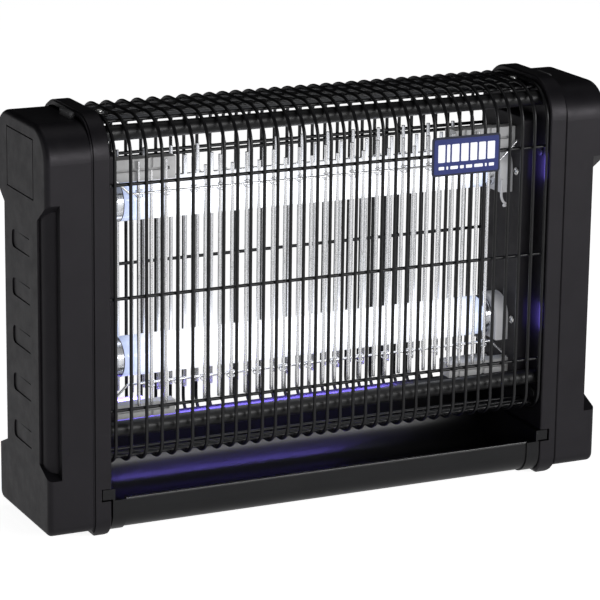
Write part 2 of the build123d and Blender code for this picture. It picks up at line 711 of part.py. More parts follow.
# ---------------------------------------------------------------- collecting tray
def tray_section(grow, top):
    """Closed side section of the tray: round-bottomed, grown or shrunk, and cut off at a height."""
    with BuildSketch() as section:
        middle = (TRAY_BACK - TRAY_FRONT) / 2
        with Locations((middle, (TRAY_BOTTOM - grow + top) / 2)):
            Rectangle(TRAY_FRONT + TRAY_BACK + 2 * grow, top - TRAY_BOTTOM + grow)
        bottom_corners = section.vertices().group_by(Axis.Y)[0].sort_by(Axis.X)
        fillet(bottom_corners[0], TRAY_FRONT_RADIUS + grow)
        bottom_corners = section.vertices().group_by(Axis.Y)[0].sort_by(Axis.X)
        fillet(bottom_corners[-1], TRAY_BACK_RADIUS + grow)
    return section.sketch


def slope_lip():
    """Cutter that lowers the front of the tray to its lip, seen from the side."""
    with BuildSketch() as cutter:
        with BuildLine():
            Polyline((-50, TRAY_LIP), (-30, TRAY_LIP), (30, TRAY_BACK_TOP), (30, 60), (-50, 60), close=True)
        make_face()
    return cutter.sketch


with BuildPart() as tray_pan:
    with BuildSketch(Plane.YZ.offset(-TRAY_JOINT_X)):
        add(tray_section(0, TRAY_BACK_TOP))
        add(tray_section(-TRAY_WALL, TRAY_BACK_TOP + 1), mode=Mode.SUBTRACT)
        add(slope_lip(), mode=Mode.SUBTRACT)
    extrude(amount=2 * TRAY_JOINT_X)
    lips = tray_pan.edges().filter_by(Axis.X).filter_by_position(Axis.Z, TRAY_LIP - 0.1, TRAY_LIP + 0.1)
    fillet(lips, 0.7)
write(tray_pan, "tray_pan")

with BuildPart() as left_tray_end:
    with BuildSketch(Plane.YZ.offset(-TRAY_END_X)):
        add(tray_section(0.9, TRAY_BACK_TOP))
        add(slope_lip(), mode=Mode.SUBTRACT)
    extrude(amount=TRAY_END_X - TRAY_JOINT_X)
    with BuildSketch(Plane.YZ.offset(-TRAY_END_X + TRAY_WALL)):
        add(tray_section(-TRAY_WALL, TRAY_BACK_TOP + 1))
    extrude(amount=TRAY_END_X - TRAY_JOINT_X, mode=Mode.SUBTRACT)
    # raised end wall and the rib that slides in the end frame's groove
    with BuildSketch(Plane.YZ.offset(-TRAY_END_X)):
        with Locations(((RIB_BACK - TRAY_FRONT) / 2, (TRAY_LIP - 4 + RIB_TOP) / 2)):
            Rectangle(TRAY_FRONT + RIB_BACK, RIB_TOP - TRAY_LIP + 4)
    extrude(amount=TRAY_WALL)
    with BuildSketch(Plane.YZ.offset(-RIB_REACH)):
        with Locations(((RIB_BACK - TRAY_FRONT) / 2, (RIB_BOTTOM + RIB_TOP) / 2)):
            Rectangle(TRAY_FRONT + RIB_BACK, RIB_TOP - RIB_BOTTOM)
    extrude(amount=RIB_REACH - TRAY_END_X)
write(left_tray_end, "left_tray_end")
write_mirrored(left_tray_end, "right_tray_end", Plane.YZ)


# ---------------------------------------------------------------- badge plate on the guard
BADGE_CENTRE = (92.0, 226.7)
BADGE_SIZE = (49.5, 25.5)
badge_back = upright_y + WIRE_RADIUS + WELD_GAP
badge_columns = [UPRIGHT_LAST - UPRIGHT_PITCH * (step + 0.5) for step in (8, 4)]

with BuildPart() as badge_plate:
    with BuildSketch(Plane.XZ.offset(badge_back)):
        with Locations(BADGE_CENTRE):
            RectangleRounded(*BADGE_SIZE, 2.0)
    extrude(amount=0.88)
    # two snap posts pass between the wires and hook behind them
    with BuildSketch(Plane.XZ.offset(badge_back)):
        with Locations(*[(x, BADGE_CENTRE[1] + 6) for x in badge_columns]):
            Rectangle(4, 4)
    extrude(amount=-3.2)
    with BuildSketch(Plane.XZ.offset(badge_back - 3.2)):
        with Locations(*[(x, BADGE_CENTRE[1] + 6) for x in badge_columns]):
            Rectangle(8.6, 4)
    extrude(amount=0.7)
write(badge_plate, "badge_plate")

with BuildPart() as badge_face:
    with BuildSketch(Plane.XZ.offset(badge_back + 0.88)):
        with Locations(BADGE_CENTRE):
            RectangleRounded(BADGE_SIZE[0] - 2.6, BADGE_SIZE[1] - 2.6, 1.2)
    extrude(amount=0.28)
write(badge_face, "badge_face")


# ---------------------------------------------------------------- electrics inside the caps
BOARD_X = 178.0
with BuildPart() as high_voltage_board:
    with BuildSketch(Plane.YZ.offset(-BOARD_X)):
        with Locations((0, 152)):
            RectangleRounded(46, 64, 2)
            with GridLocations(38, 56, 2, 2):
                Circle(1.6, mode=Mode.SUBTRACT)
    extrude(amount=-1.6)
write(high_voltage_board, "high_voltage_board")

with BuildPart() as multiplier_capacitors:
    with BuildSketch(Plane.YZ.offset(-BOARD_X)):
        with Locations((-11, 138), (-11, 152), (-11, 166)):
            Circle(5.0)
    extrude(amount=14)
write(multiplier_capacitors, "multiplier_capacitors")

with BuildPart() as step_up_transformer:
    with BuildSketch(Plane.YZ.offset(-BOARD_X)):
        with Locations((9, 152)):
            Rectangle(16, 34)
    extrude(amount=16)
    fillet(step_up_transformer.edges().filter_by(Axis.X), 2)
    with BuildSketch(Plane.YZ.offset(-BOARD_X)):
        with Locations((9, 152)):
            Rectangle(20, 22)
    extrude(amount=13)
write(step_up_transformer, "step_up_transformer")


def ballast(height):
    """A choke for one lamp: a laminated block with a mounting foot at each end."""
    with BuildPart() as block:
        with BuildSketch(Plane.YZ.offset(160)):
            with Locations((0, height)):
                Rectangle(34, 44)
        extrude(amount=24)
        chamfer(block.edges().filter_by(Axis.Z), 2)
        with BuildSketch(Plane.YZ.offset(182)):
            with Locations((0, height)):
                Rectangle(30, 58)
        extrude(amount=2)
    return block


write(ballast(152), "upper_ballast")
write(ballast(62), "lower_ballast")

with BuildPart() as starters:
    for side in (-1, 1):
        with BuildSketch(Plane.YZ.offset(-160)):
            with Locations((side * 14, 53)):
                Circle(10.5)
        extrude(amount=-32)
    fillet(starters.edges().group_by(Axis.X)[0], 1.5)
write(starters, "starters")

with BuildPart() as terminal_block:
    with BuildSketch(Plane.YZ.offset(162)):
        with Locations((12, 228)):
            Rectangle(22, 14)
    extrude(amount=14)
    with BuildSketch(Plane.XY.offset(235)):
        with Locations((169, 12)):
            with GridLocations(1, 7, 1, 3):
                Circle(2.2)
    extrude(amount=-5, mode=Mode.SUBTRACT)
write(terminal_block, "terminal_block")
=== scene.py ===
import math

import bmesh
import bpy
from mathutils import Matrix, Vector


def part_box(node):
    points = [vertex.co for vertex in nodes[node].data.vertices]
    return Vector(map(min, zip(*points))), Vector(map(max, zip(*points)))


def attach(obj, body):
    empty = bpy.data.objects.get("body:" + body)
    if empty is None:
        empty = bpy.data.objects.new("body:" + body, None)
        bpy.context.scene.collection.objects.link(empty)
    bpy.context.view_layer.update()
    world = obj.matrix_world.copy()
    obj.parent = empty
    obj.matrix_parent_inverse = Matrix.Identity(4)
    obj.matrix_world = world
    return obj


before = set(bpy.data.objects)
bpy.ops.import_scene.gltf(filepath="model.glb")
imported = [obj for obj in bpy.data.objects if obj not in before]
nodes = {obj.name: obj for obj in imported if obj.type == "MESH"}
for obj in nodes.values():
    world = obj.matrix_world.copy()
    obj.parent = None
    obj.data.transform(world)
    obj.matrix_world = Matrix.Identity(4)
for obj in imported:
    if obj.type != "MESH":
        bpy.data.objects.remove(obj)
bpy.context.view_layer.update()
MM = 0.001


# ------------------------------------------------------------------ node helpers
def new_material(name):
    mat = bpy.data.materials.new(name)
    mat.use_nodes = True
    tree = mat.node_tree
    shader = tree.nodes["Principled BSDF"]
    return mat, tree, shader


def make(tree, kind, **settings):
    node = tree.nodes.new(kind)
    for key, value in settings.items():
        if key in node.bl_rna.properties:
            setattr(node, key, value)
        else:
            node.inputs[key.replace("_", " ")].default_value = value
    return node


def link(tree, source, target):
    tree.links.new(source, target)


def object_coords(tree, stretch=(1, 1, 1)):
    coords = make(tree, "ShaderNodeTexCoord")
    mapping = make(tree, "ShaderNodeMapping")
    mapping.inputs["Scale"].default_value = stretch
    link(tree, coords.outputs["Object"], mapping.inputs["Vector"])
    return mapping.outputs["Vector"]


def noise(tree, vector, scale, detail, rough=0.55):
    node = make(tree, "ShaderNodeTexNoise", Scale=scale, Detail=detail, Roughness=rough)
    link(tree, vector, node.inputs["Vector"])
    return node.outputs["Fac"]


def ramp(tree, factor, stops):
    node = make(tree, "ShaderNodeValToRGB")
    elements = node.color_ramp.elements
    while len(elements) < len(stops):
        elements.new(0.5)
    for element, (place, colour) in zip(elements, stops):
        element.position = place
        element.color = (*colour, 1.0)
    link(tree, factor, node.inputs["Fac"])
    return node.outputs["Color"]


def map_range(tree, factor, source, target):
    """Maps one range of plain numbers onto another."""
    node = make(tree, "ShaderNodeMapRange")
    for end, value in zip(("From Min", "From Max", "To Min", "To Max"), (*source, *target)):
        node.inputs[end].default_value = value
    link(tree, factor, node.inputs["Value"])
    return node.outputs["Result"]


def spread(tree, factor, low, high):
    """Maps a noise value onto a range of plain numbers."""
    return map_range(tree, factor, (0.3, 0.7), (low, high))


def add_bump(tree, shader, height, strength, distance):
    node = make(tree, "ShaderNodeBump", Strength=strength, Distance=distance)
    link(tree, height, node.inputs["Height"])
    link(tree, node.outputs["Normal"], shader.inputs["Normal"])


def mix_colours(tree, factor, a, b):
    node = make(tree, "ShaderNodeMix", data_type="RGBA")
    link(tree, factor, node.inputs["Factor"])
    for socket, value in ((node.inputs[6], a), (node.inputs[7], b)):
        if isinstance(value, tuple):
            socket.default_value = (*value, 1.0)
        else:
            link(tree, value, socket)
    return node.outputs[2]


# ------------------------------------------------------------------ materials
def moulded_plastic(name, dark, light, rough, grain=0.12, dust=0.25, specular=0.5, uneven=1.0):
    """Spark-textured moulding: fine grain, cloudy sheen and a trace of dust on what faces up."""
    mat, tree, shader = new_material(name)
    vector = object_coords(tree)
    cloud = noise(tree, vector, 38, 5)
    fine = noise(tree, vector, 2600, 2)
    colour = ramp(tree, cloud, [(0.3, dark), (0.72, light)])
    geometry = make(tree, "ShaderNodeNewGeometry")
    parts = make(tree, "ShaderNodeSeparateXYZ")
    link(tree, geometry.outputs["Normal"], parts.inputs["Vector"])
    specks = noise(tree, vector, 420, 6, 0.7)
    speck_mask = ramp(tree, specks, [(0.60, (0, 0, 0)), (0.78, (1, 1, 1))])
    upward = make(tree, "ShaderNodeMath", operation="MULTIPLY")
    link(tree, speck_mask, upward.inputs[0])
    link(tree, parts.outputs["Z"], upward.inputs[1])
    amount = make(tree, "ShaderNodeMath", operation="MULTIPLY", use_clamp=True)
    link(tree, upward.outputs[0], amount.inputs[0])
    amount.inputs[1].default_value = dust
    dusty = tuple(min(1.0, c * 2.2 + 0.02) for c in light)
    link(tree, mix_colours(tree, amount.outputs[0], colour, dusty), shader.inputs["Base Color"])
    low, high = rough - 0.04 * uneven, rough + 0.05 * uneven
    link(tree, spread(tree, noise(tree, vector, 120, 3), low, high), shader.inputs["Roughness"])
    shader.inputs["Specular IOR Level"].default_value = specular
    add_bump(tree, shader, fine, grain, 0.0004)
    return mat


def coated_metal(name, dark, light, rough, peel=0.05, streak=(1, 1, 1)):
    """Powder or enamel coat over metal: an orange-peel skin with a slightly uneven gloss."""
    mat, tree, shader = new_material(name)
    vector = object_coords(tree, streak)
    colour = ramp(tree, noise(tree, vector, 60, 4), [(0.35, dark), (0.7, light)])
    link(tree, colour, shader.inputs["Base Color"])
    gloss = noise(tree, vector, 180, 3)
    link(tree, spread(tree, gloss, rough - 0.05, rough + 0.06), shader.inputs["Roughness"])
    add_bump(tree, shader, noise(tree, vector, 900, 2), peel, 0.0003)
    return mat


def bright_metal(name, dark, light, rough, streak=(1, 1, 1), scale=500, relief=0.08, metallic=1.0):
    """Drawn or turned metal with fine streaks along one direction."""
    mat, tree, shader = new_material(name)
    vector = object_coords(tree, streak)
    lines = noise(tree, vector, scale, 5, 0.65)
    link(tree, ramp(tree, lines, [(0.3, dark), (0.7, light)]), shader.inputs["Base Color"])
    shader.inputs["Metallic"].default_value = metallic
    link(tree, spread(tree, lines, rough - 0.06, rough + 0.08), shader.inputs["Roughness"])
    add_bump(tree, shader, lines, relief, 0.0002)
    return mat


FADE_START, FADE_END = 0.095, 0.140


def glowing_tube():
    """Phosphor-coated glass of a running lamp: white in the middle, blue and greyer by the ends."""
    mat, tree, shader = new_material("lamp_glow")
    coords = make(tree, "ShaderNodeTexCoord")
    parts = make(tree, "ShaderNodeSeparateXYZ")
    link(tree, coords.outputs["Object"], parts.inputs["Vector"])
    along = make(tree, "ShaderNodeMath", operation="ABSOLUTE")
    link(tree, parts.outputs["X"], along.inputs[0])
    place = map_range(tree, along.outputs[0], (FADE_START, FADE_END), (0.0, 1.0))
    vector = object_coords(tree)
    haze = noise(tree, vector, 90, 3)
    wobble = make(tree, "ShaderNodeMath", operation="MULTIPLY_ADD")
    link(tree, haze, wobble.inputs[0])
    wobble.inputs[1].default_value = 0.12
    link(tree, place, wobble.inputs[2])
    stops = [(0.30, (0.93, 0.95, 1.0)), (0.80, (0.62, 0.72, 1.0)), (1.0, (0.45, 0.5, 0.75))]
    colour = ramp(tree, wobble.outputs[0], stops)
    link(tree, colour, shader.inputs["Base Color"])
    link(tree, colour, shader.inputs["Emission Color"])
    strength = map_range(tree, wobble.outputs[0], (0.30, 1.0), (1.15, 0.42))
    link(tree, strength, shader.inputs["Emission Strength"])
    shader.inputs["Roughness"].default_value = 0.12
    shader.inputs["Coat Weight"].default_value = 0.6
    return mat


def set_input(mat, socket, value):
    """Sets one plain value on a material's shader."""
    mat.node_tree.nodes["Principled BSDF"].inputs[socket].default_value = value


# each material: its name, its dark and light colours, its roughness, and then what differs from the usual
HOUSING = moulded_plastic(
    "housing_moulding", (0.0065, 0.006, 0.0075), (0.011, 0.0105, 0.0125), 0.42, dust=0.2, specular=0.36
)
set_input(HOUSING, "Specular Tint", (0.98, 0.93, 1.0, 1.0))
GUARD = coated_metal("guard_powder_coat", (0.003, 0.003, 0.004), (0.007, 0.007, 0.008), 0.34)
RAIL = coated_metal(
    "rail_enamel", (0.006, 0.006, 0.007), (0.009, 0.009, 0.0095), 0.40, peel=0.015, streak=(0.2, 1, 1)
)
BRACKET = coated_metal("bracket_enamel", (0.010, 0.010, 0.011), (0.02, 0.02, 0.022), 0.35)
SCREW = bright_metal("screw_zinc", (0.55, 0.55, 0.54), (0.86, 0.86, 0.84), 0.22)
# the lug's lighter grey stands in for a highlight on it: painted highlight
LUG_PAINTED_HIGHLIGHT = moulded_plastic("lug_painted_highlight", (0.10, 0.10, 0.105), (0.18, 0.18, 0.185), 0.5)
INSULATOR = moulded_plastic(
    "insulator_moulding", (0.60, 0.60, 0.60), (0.70, 0.70, 0.70), 0.5, grain=0.05, dust=0.05
)
ROD = bright_metal(
    "rod_nickel", (0.90, 0.91, 0.93), (0.96, 0.96, 0.97), 0.20,
    streak=(1, 1, 0.03), scale=120, relief=0.01, metallic=0.85,
)
LAMP_METAL = bright_metal(
    "lamp_end_aluminium", (0.74, 0.76, 0.80), (0.88, 0.89, 0.92), 0.16,
    streak=(1, 0.08, 0.08), scale=900, relief=0.04,
)
PIN = bright_metal("lamp_pin_brass", (0.62, 0.50, 0.28), (0.82, 0.70, 0.44), 0.22)
HOLDER = moulded_plastic(
    "holder_moulding", (0.66, 0.66, 0.68), (0.76, 0.76, 0.78), 0.42, grain=0.03, dust=0.05
)
TRAY = moulded_plastic(
    "tray_gloss_moulding", (0.0045, 0.0045, 0.0055), (0.0075, 0.0075, 0.0085), 0.30,
    grain=0.004, dust=0.10, specular=0.40, uneven=0.25,
)
TRAY_BEAD = moulded_plastic(
    "tray_bead_moulding", (0.006, 0.006, 0.007), (0.010, 0.010, 0.011), 0.12,
    grain=0.004, dust=0.10, specular=0.9, uneven=0.25,
)
BADGE_EDGE = moulded_plastic(
    "badge_edge", (0.006, 0.010, 0.035), (0.010, 0.014, 0.05), 0.35, grain=0.02, dust=0.05
)
BADGE_BLUE = moulded_plastic(
    "badge_print_blue", (0.018, 0.032, 0.20), (0.025, 0.043, 0.25), 0.34, grain=0.01, dust=0.05
)
BADGE_PRINT_PAINTED_GLOW = moulded_plastic(
    "badge_print_white_painted_glow", (0.86, 0.87, 0.90), (0.94, 0.94, 0.96), 0.4, grain=0.01, dust=0.0
)
# the white print also glows a little: painted light, since the print is no lamp
set_input(BADGE_PRINT_PAINTED_GLOW, "Emission Color", (0.9, 0.92, 1.0, 1.0))
set_input(BADGE_PRINT_PAINTED_GLOW, "Emission Strength", 0.42)
BOARD = moulded_plastic("board_laminate", (0.015, 0.10, 0.05), (0.03, 0.16, 0.08), 0.4, grain=0.05)
CORE = bright_metal(
    "laminated_core", (0.16, 0.15, 0.14), (0.34, 0.32, 0.30), 0.5, streak=(1, 1, 14), scale=60
)
STARTER = moulded_plastic("starter_can", (0.70, 0.70, 0.68), (0.82, 0.82, 0.80), 0.45, grain=0.04)
BUSHING = moulded_plastic("bushing_rubber", (0.010, 0.010, 0.010), (0.022, 0.022, 0.022), 0.65, grain=0.2)
# nearly black crosses laid on the screw heads: painted shade in place of cut cross recesses
RECESS_SHADE = coated_metal("screw_recess_painted_shade", (0.02, 0.02, 0.02), (0.05, 0.05, 0.05), 0.45)
CEMENT = coated_metal("lamp_cement", (0.015, 0.016, 0.025), (0.03, 0.03, 0.045), 0.35)
GLOW = glowing_tube()

# The first row with a word that is in the node's name gives its material. So "cap" also takes the
# multiplier capacitors, and "_rail" the rail screws.
NODE_LOOKS = [
    (("cap", "end_frame"), HOUSING),
    (("guard_uprights", "guard_crosswires"), GUARD),
    (("_rail",), RAIL),
    (("guard_bracket",), BRACKET),
    (("housing_screws",), BRACKET),
    (("guard_screws",), SCREW),
    (("insulator",), INSULATOR),
    (("_grid",), ROD),
    (("lamp_glass",), GLOW),
    (("lamp_ends",), LAMP_METAL),
    (("lamp_pins",), PIN),
    (("lamp_rotors", "lamp_holder"), HOLDER),
    (("tray_pan", "tray_end"), TRAY),
    (("badge_plate",), BADGE_EDGE),
    (("badge_face",), BADGE_BLUE),
    (("high_voltage_board",), BOARD),
    (("transformer", "ballast"), CORE),
    (("starters", "terminal_block"), STARTER),
    (("cable_bushing",), BUSHING),
]


def dress(node_name, obj):
    chosen = [mat for words, mat in NODE_LOOKS if any(word in node_name for word in words)]
    obj.data.materials.clear()
    obj.data.materials.append(chosen[0])


for node_name, node in nodes.items():
    dress(node_name, node)


# ------------------------------------------------------------------ mesh helpers
def piece_from(name, bm, material, body, smooth=True):
    """Turns finished mesh data into a piece that rides on a body."""
    bmesh.ops.recalc_face_normals(bm, faces=bm.faces)
    mesh = bpy.data.meshes.new(name)
    bm.to_mesh(mesh)
    bm.free()
    for face in mesh.polygons:
        face.use_smooth = smooth
    mesh.materials.append(material)
    piece = bpy.data.objects.new(name, mesh)
    bpy.context.scene.collection.objects.link(piece)
    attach(piece, body)


def add_blob(bm, centre, radii, levels=2):
    made = bmesh.ops.create_icosphere(bm, subdivisions=levels, radius=1.0)
    for vert in made["verts"]:
        vert.co = Vector(centre) + Vector(a * b for a, b in zip(vert.co, radii))


def add_ring(bm, centre, normal, radius, tube, steps=20, sides=8):
    """A plain torus about a centre."""
    turn = Vector((0, 0, 1)).rotation_difference(Vector(normal)).to_matrix()
    rows = []
    for step in range(steps):
        angle = 2 * math.pi * step / steps
        spoke = Vector((math.cos(angle), math.sin(angle), 0))
        row = []
        for side in range(sides):
            lean = 2 * math.pi * side / sides
            place = spoke * (radius + tube * math.cos(lean)) + Vector((0, 0, tube * math.sin(lean)))
            row.append(bm.verts.new(Vector(centre) + turn @ place))
        rows.append(row)
    for step in range(steps):
        here, there = rows[step], rows[(step + 1) % steps]
        for side in range(sides):
            other = (side + 1) % sides
            bm.faces.new((here[side], there[side], there[other], here[other]))


def add_lathe(bm, base, axis, profile, steps=28):
    """Turns a profile of (radius, height) pairs about an axis through the base."""
    turn = Vector((0, 0, 1)).rotation_difference(Vector(axis)).to_matrix()
    rows = []
    for radius, height in profile:
        row = []
        for step in range(steps):
            angle = 2 * math.pi * step / steps
            place = Vector((radius * math.cos(angle), radius * math.sin(angle), height))
            row.append(bm.verts.new(Vector(base) + turn @ place))
        rows.append(row)
    for here, there in zip(rows, rows[1:]):
        for step in range(steps):
            other = (step + 1) % steps
            bm.faces.new((here[step], here[other], there[other], there[step]))
    bm.faces.new(rows[-1])
    bm.faces.new(list(reversed(rows[0])))


def rounded_outline(width, height, radius, steps):
    """Corner-rounded rectangle about the origin, as flat points."""
    points = []
    for quarter, (sx, sy) in enumerate(((1, 1), (-1, 1), (-1, -1), (1, -1))):
        centre = Vector((sx * (width / 2 - radius), sy * (height / 2 - radius)))
        for step in range(steps + 1):
            angle = math.pi / 2 * (quarter + step / steps)
            points.append(centre + radius * Vector((math.cos(angle), math.sin(angle))))
    return points


def add_slab(bm, outline, origin, right, up, depth, crown):
    """A slab from a flat outline; its front edge is eased by a smaller, raised outline."""
    right, up = Vector(right), Vector(up)
    out = right.cross(up)
    rows = []
    for inset, rise in ((0.0, 0.0), (0.0, depth - crown), (crown, depth)):
        row = []
        for point in outline:
            scale = max(0.0, 1 - inset / max(point.length, 1e-9))
            flat = point * scale
            row.append(bm.verts.new(Vector(origin) + right * flat.x + up * flat.y + out * rise))
        rows.append(row)
    count = len(outline)
    for here, there in zip(rows, rows[1:]):
        for step in range(count):
            other = (step + 1) % count
            bm.faces.new((here[step], here[other], there[other], there[step]))
    bm.faces.new(rows[-1])
    bm.faces.new(list(reversed(rows[0])))


def cross_outline(arm, width):
    """A screw's cross recess as flat points."""
    a, w = arm / 2, width / 2
    corners = [(a, -w), (a, w), (w, w), (w, a), (-w, a), (-w, w)]
    corners += [(-a, w), (-a, -w), (-w, -w), (-w, -a), (w, -a), (w, -w)]
    return [Vector(corner) for corner in corners]


# ------------------------------------------------------------------ places on the CAD model
WIRE = 1.1 * MM
UPRIGHT_LAST, UPRIGHT_PITCH, UPRIGHT_GAPS = 152.6 * MM, 9.2 * MM, 25
WIDE_PITCH, WIDE_GAPS = 10.4 * MM, 7
FRONT_CROSS_HEIGHTS = (0.0827, 0.1547, 0.2267)
REAR_CROSS_HEIGHTS = (0.0827, 0.1547, 0.2248, 0.2276)
CURL_WELDS = [(0.0332, 0.0493), (0.0256, 0.0486), (0.0176, 0.0486)]
ROD_WIRE = 1.2 * MM
ROD_PITCH = 9.23 * MM
RODS = 28
BAR_WIRE = 0.8 * MM
LIVE_BAR_Z, RETURN_BAR_Z = 0.2152, 0.0902
first_narrow_x = UPRIGHT_LAST - UPRIGHT_GAPS * UPRIGHT_PITCH
upright_xs = [UPRIGHT_LAST - step * UPRIGHT_PITCH for step in range(UPRIGHT_GAPS + 1)]
upright_xs += [first_narrow_x - step * WIDE_PITCH for step in range(1, WIDE_GAPS + 1)]
rod_xs = [ROD_PITCH * (step - (RODS - 1) / 2) for step in range(RODS)]


def lamp_height(level):
    low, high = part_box(f"{level}_lamp_glass")
    return (low[2] + high[2]) / 2


lamp_z = {level: lamp_height(level) for level in ("upper", "lower")}


# ------------------------------------------------------------------ weld beads of the guard
WELD_ACROSS = 1.5 * MM
WELD_FLAT = 0.7 * MM
CURL_WELD_DEPTH = 1.3 * MM


def build_guard_welds():
    """Spot welds: a flattened bead of metal at each crossing of an upright and a cross wire."""
    face_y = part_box("front_guard_uprights")[0][1] + 2 * WIRE
    faces = (
        (-1, "front_guard_welds", FRONT_CROSS_HEIGHTS),
        (1, "rear_guard_welds", REAR_CROSS_HEIGHTS),
    )
    for side, name, heights in faces:
        bm = bmesh.new()
        for x in upright_xs:
            for height in heights:
                add_blob(bm, (x, side * abs(face_y), height), (WELD_ACROSS, WELD_FLAT, WELD_ACROSS), 1)
            for y, height in CURL_WELDS:
                add_blob(bm, (x, side * y, height), (WELD_ACROSS, CURL_WELD_DEPTH, WELD_FLAT), 1)
        piece_from(name, bm, GUARD, "body")
    low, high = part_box("top_guard_crosswires")
    bm = bmesh.new()
    for x in upright_xs:
        for y in (low[1] + WIRE, high[1] - WIRE):
            add_blob(bm, (x, y, high[2]), (WELD_ACROSS, WELD_ACROSS, WELD_FLAT), 1)
    piece_from("top_guard_welds", bm, GUARD, "body")


# ------------------------------------------------------------------ rod eyes of the grids
EYE_LIFT = 1.5  # in millimetres, above and below the joining wire
EYE_TILT = 0.25
EYE_RADIUS, EYE_WIRE = 2.3 * MM, 0.4 * MM
SOLDER_RADII = (1.3 * MM, 1.1 * MM, 1.2 * MM)


def build_rod_eyes():
    """Small wire eyes that tie each rod to its joining wire, and the solder on them."""
    live_low, live_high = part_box("front_live_grid")
    return_low, return_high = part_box("front_return_grid")
    rows = (
        ("live", 0, live_low[1] + BAR_WIRE, live_high[1] - ROD_WIRE, LIVE_BAR_Z),
        ("return", 1, return_high[1] - BAR_WIRE, return_low[1] + ROD_WIRE, RETURN_BAR_Z),
    )
    for polarity, first, bar_y, rod_y, height in rows:
        middle_y = (bar_y + rod_y) / 2
        for side, place in ((1, "front"), (-1, "rear")):
            bm = bmesh.new()
            for x in rod_xs[first::2]:
                for lift in (-EYE_LIFT, EYE_LIFT):
                    centre = (x, side * middle_y, height + lift * MM)
                    add_ring(bm, centre, (0, EYE_TILT * lift, 1), EYE_RADIUS, EYE_WIRE)
                add_blob(bm, (x, side * bar_y, height), SOLDER_RADII)
            piece_from(f"{place}_{polarity}_rod_eyes", bm, ROD, "body")


# ------------------------------------------------------------------ screws
# a pan head, as radius by height
HEAD_PROFILE = (
    (0.0034, 0.0), (0.0034, 0.0006), (0.0031, 0.0013), (0.0024, 0.0018), (0.0014, 0.0021), (0.0004, 0.0022),
)
# the dark cross of painted shade on each pan head: where it starts, its thickness and its eased edge
RECESS_FLOOR = 1.75 * MM
RECESS_DEPTH = 0.50 * MM
RECESS_EDGE = 0.02 * MM
HOLDER_SCREW_Y = 20.5 * MM
HOLDER_SCREW_SIZE = 0.8
GUARD_HEAD_RADIUS = 3.3 * MM


def build_screw(bm, recess_shade_bm, base, axis, size):
    add_lathe(bm, base, axis, [(radius * size, height * size) for radius, height in HEAD_PROFILE])
    out = Vector(axis)
    right = out.orthogonal().normalized()
    up = out.cross(right)
    # a dark cross laid on the solid head: painted shade standing in for a cross recess
    front = Vector(base) + out * (RECESS_FLOOR * size)
    outline = [point * size for point in cross_outline(3.0 * MM, 0.8 * MM)]
    add_slab(recess_shade_bm, outline, front, right, up, RECESS_DEPTH * size, RECESS_EDGE)


def build_wall_screws():
    """Pan-head screws beside each lamp holder, which fix it to the bulkhead."""
    for side, name in ((-1, "left"), (1, "right")):
        low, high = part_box(f"{name}_end_frame")
        wall_x = high[0] if side < 0 else low[0]
        heads, recess_shades = bmesh.new(), bmesh.new()
        for height in lamp_z.values():
            for y in (-HOLDER_SCREW_Y, HOLDER_SCREW_Y):
                build_screw(heads, recess_shades, (wall_x, y, height), (-side, 0, 0), HOLDER_SCREW_SIZE)
        piece_from(f"{name}_holder_screws", heads, SCREW, "body")
        piece_from(f"{name}_holder_screw_painted_shades", recess_shades, RECESS_SHADE, "body", False)


def build_guard_screw_painted_shades():
    """A dark cross on each guard screw, turned a little, laid on the head as painted shade in place of a
    cross recess, and the washer under its head.
    """
    low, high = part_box("guard_screws")
    bm, washers = bmesh.new(), bmesh.new()
    middle_y = (low[1] + high[1]) / 2
    outline = cross_outline(3.4 * MM, 0.9 * MM)
    right, up = (0.8, 0.6, 0), (-0.6, 0.8, 0)
    for x in (low[0] + GUARD_HEAD_RADIUS, high[0] - GUARD_HEAD_RADIUS):
        add_slab(bm, outline, (x, middle_y, high[2] - 0.2 * MM), right, up, 0.24 * MM, RECESS_EDGE)
        washer = (x, middle_y, high[2] - 2.2 * MM)
        add_ring(washers, washer, (0, 0, 1), GUARD_HEAD_RADIUS, 0.35 * MM, 32)
    piece_from("guard_screw_painted_shades", bm, RECESS_SHADE, "body", False)
    piece_from("guard_screw_washers", washers, SCREW, "body")


# ------------------------------------------------------------------ lamps and their holders
CEMENT_RADIUS, CEMENT_BEAD = 12.85 * MM, 0.35 * MM
CRIMP_RADIUS, CRIMP_BEAD, CRIMP_INSET = 12.95 * MM, 0.28 * MM, 2.6 * MM
ROUND_STEPS = 64


def build_lamp_trim():
    """Dark cement rings where the glass meets the metal, and a crimped bead round each end."""
    for level, height in lamp_z.items():
        glass_low, glass_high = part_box(f"{level}_lamp_glass")
        ends_low, ends_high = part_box(f"{level}_lamp_ends")
        rings, crimps = bmesh.new(), bmesh.new()
        for x in (glass_low[0], glass_high[0]):
            add_ring(rings, (x, 0, height), (1, 0, 0), CEMENT_RADIUS, CEMENT_BEAD, ROUND_STEPS)
        for x in (ends_low[0] + CRIMP_INSET, ends_high[0] - CRIMP_INSET):
            add_ring(crimps, (x, 0, height), (1, 0, 0), CRIMP_RADIUS, CRIMP_BEAD, ROUND_STEPS)
        piece_from(f"{level}_lamp_cement_rings", rings, CEMENT, f"{level}_lamp")
        piece_from(f"{level}_lamp_crimps", crimps, LAMP_METAL, f"{level}_lamp")


def wire_piece(name, points, radius, material, body):
    """A stiff formed wire through a few points."""
    curve = bpy.data.curves.new(name, "CURVE")
    curve.dimensions = "3D"
    curve.bevel_depth = radius
    curve.bevel_resolution = 4
    curve.use_fill_caps = True
    spline = curve.splines.new("NURBS")
    spline.points.add(len(points) - 1)
    for target, point in zip(spline.points, points):
        target.co = (*point, 1.0)
    spline.order_u = 3
    spline.use_endpoint_u = True
    curve.materials.append(material)
    piece = bpy.data.objects.new(name, curve)
    bpy.context.scene.collection.objects.link(piece)
    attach(piece, body)


CLIP_WIRE = 0.9 * MM


